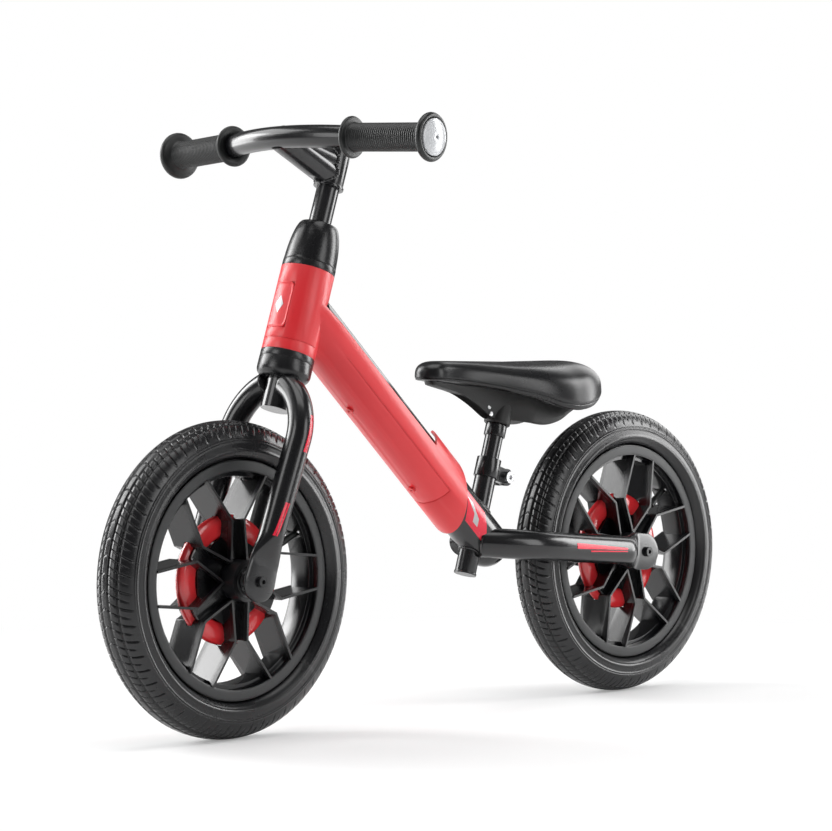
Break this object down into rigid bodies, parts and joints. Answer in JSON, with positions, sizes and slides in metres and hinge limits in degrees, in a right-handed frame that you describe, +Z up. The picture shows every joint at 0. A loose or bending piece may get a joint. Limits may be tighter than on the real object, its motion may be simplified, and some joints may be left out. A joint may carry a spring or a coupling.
{
  "type": "balance bike",
  "caption": "Child's balance bike: thick sloping black down tube with a moulded red cover, wheels with Y-shaped spokes, low padded saddle",
  "frame": {"origin": "on the ground, midway between the two wheel contacts", "axes": "+X forward along the bike, +Y to the rider's left, +Z up"},
  "size_m": [0.8814, 0.3662, 0.5935],
  "materials": {
    "frame_paint": "gloss",
    "satin_plastic": "satin",
    "cover_red": "gloss",
    "bright_steel": "satin",
    "wheel_plastic": "gloss",
    "tyre_rubber": "matte",
    "soft_rubber": "matte",
    "pale_plastic": "gloss",
    "red_ring": "gloss",
    "saddle_skin": "satin"
  },
  "bodies": {
    "frame": {"main_tube": "frame_paint", "head_tube": "frame_paint", "seat_tube": "frame_paint", "seat_tube_plug": "satin_plastic", "left_stay": "frame_paint", "right_stay": "frame_paint", "tube_cover": "cover_red", "badge_panel": "cover_red", "cover_screws": "satin_plastic", "upper_cup": "satin_plastic", "lower_cup": "satin_plastic", "upper_bearing": "bright_steel", "lower_bearing": "bright_steel", "seat_clamp": "frame_paint", "seat_clamp_bolt": "bright_steel", "seat_clamp_nut": "bright_steel", "rear_axle": "bright_steel", "rear_spacers": "satin_plastic", "rear_axle_bolts": "satin_plastic"},
    "steering": {"steerer_tube": "frame_paint", "left_fork_leg": "frame_paint", "right_fork_leg": "frame_paint", "crown_cap": "satin_plastic", "steerer_locknut": "bright_steel", "headset_cap": "satin_plastic", "front_axle": "bright_steel", "front_spacers": "satin_plastic", "front_axle_bolts": "satin_plastic"},
    "stem_and_bar": {"quill_tube": "frame_paint", "quill_wedge": "bright_steel", "quill_bolt": "bright_steel", "stem_sleeve": "frame_paint", "stem_arm": "frame_paint", "stem_ring": "frame_paint", "stem_screw": "bright_steel", "stem_plug": "satin_plastic", "handlebar": "frame_paint", "left_grip": "soft_rubber", "right_grip": "soft_rubber", "grip_end_caps": "pale_plastic"},
    "front_wheel": {"front_rim": "wheel_plastic", "front_spokes": "wheel_plastic", "front_tyre": "tyre_rubber", "front_inner_tube": "soft_rubber", "front_valve": "soft_rubber", "front_light_ring": "red_ring", "front_bearings": "bright_steel"},
    "rear_wheel": {"rear_rim": "wheel_plastic", "rear_spokes": "wheel_plastic", "rear_tyre": "tyre_rubber", "rear_inner_tube": "soft_rubber", "rear_valve": "soft_rubber", "rear_light_ring": "red_ring", "rear_bearings": "bright_steel"},
    "seat": {"seat_post": "frame_paint", "post_sleeve": "frame_paint", "saddle_base": "satin_plastic", "saddle_pad": "saddle_skin", "saddle_screws": "bright_steel"}
  },
  "joints": [
    {"name": "steering", "type": "hinge", "parent": "frame", "child": "steering", "pos_m": [0.27855, 0, 0.152], "axis": [-0.3256, 0, 0.9455], "range_deg": [-60, 60]},
    {"name": "handlebar_height", "type": "slide", "parent": "steering", "child": "stem_and_bar", "axis": [-0.3256, 0, 0.9455], "range_m": [-0.036, 0.03]},
    {"name": "front_wheel_spin", "type": "hinge", "parent": "steering", "child": "front_wheel", "pos_m": [0.2887, 0, 0.152], "axis": [0, 1, 0], "continuous": true},
    {"name": "rear_wheel_spin", "type": "hinge", "parent": "frame", "child": "rear_wheel", "pos_m": [-0.2887, 0, 0.152], "axis": [0, 1, 0], "continuous": true},
    {"name": "seat_height", "type": "slide", "parent": "frame", "child": "seat", "axis": [-0.309, 0, 0.9511], "range_m": [-0.022, 0.045]}
  ]
}
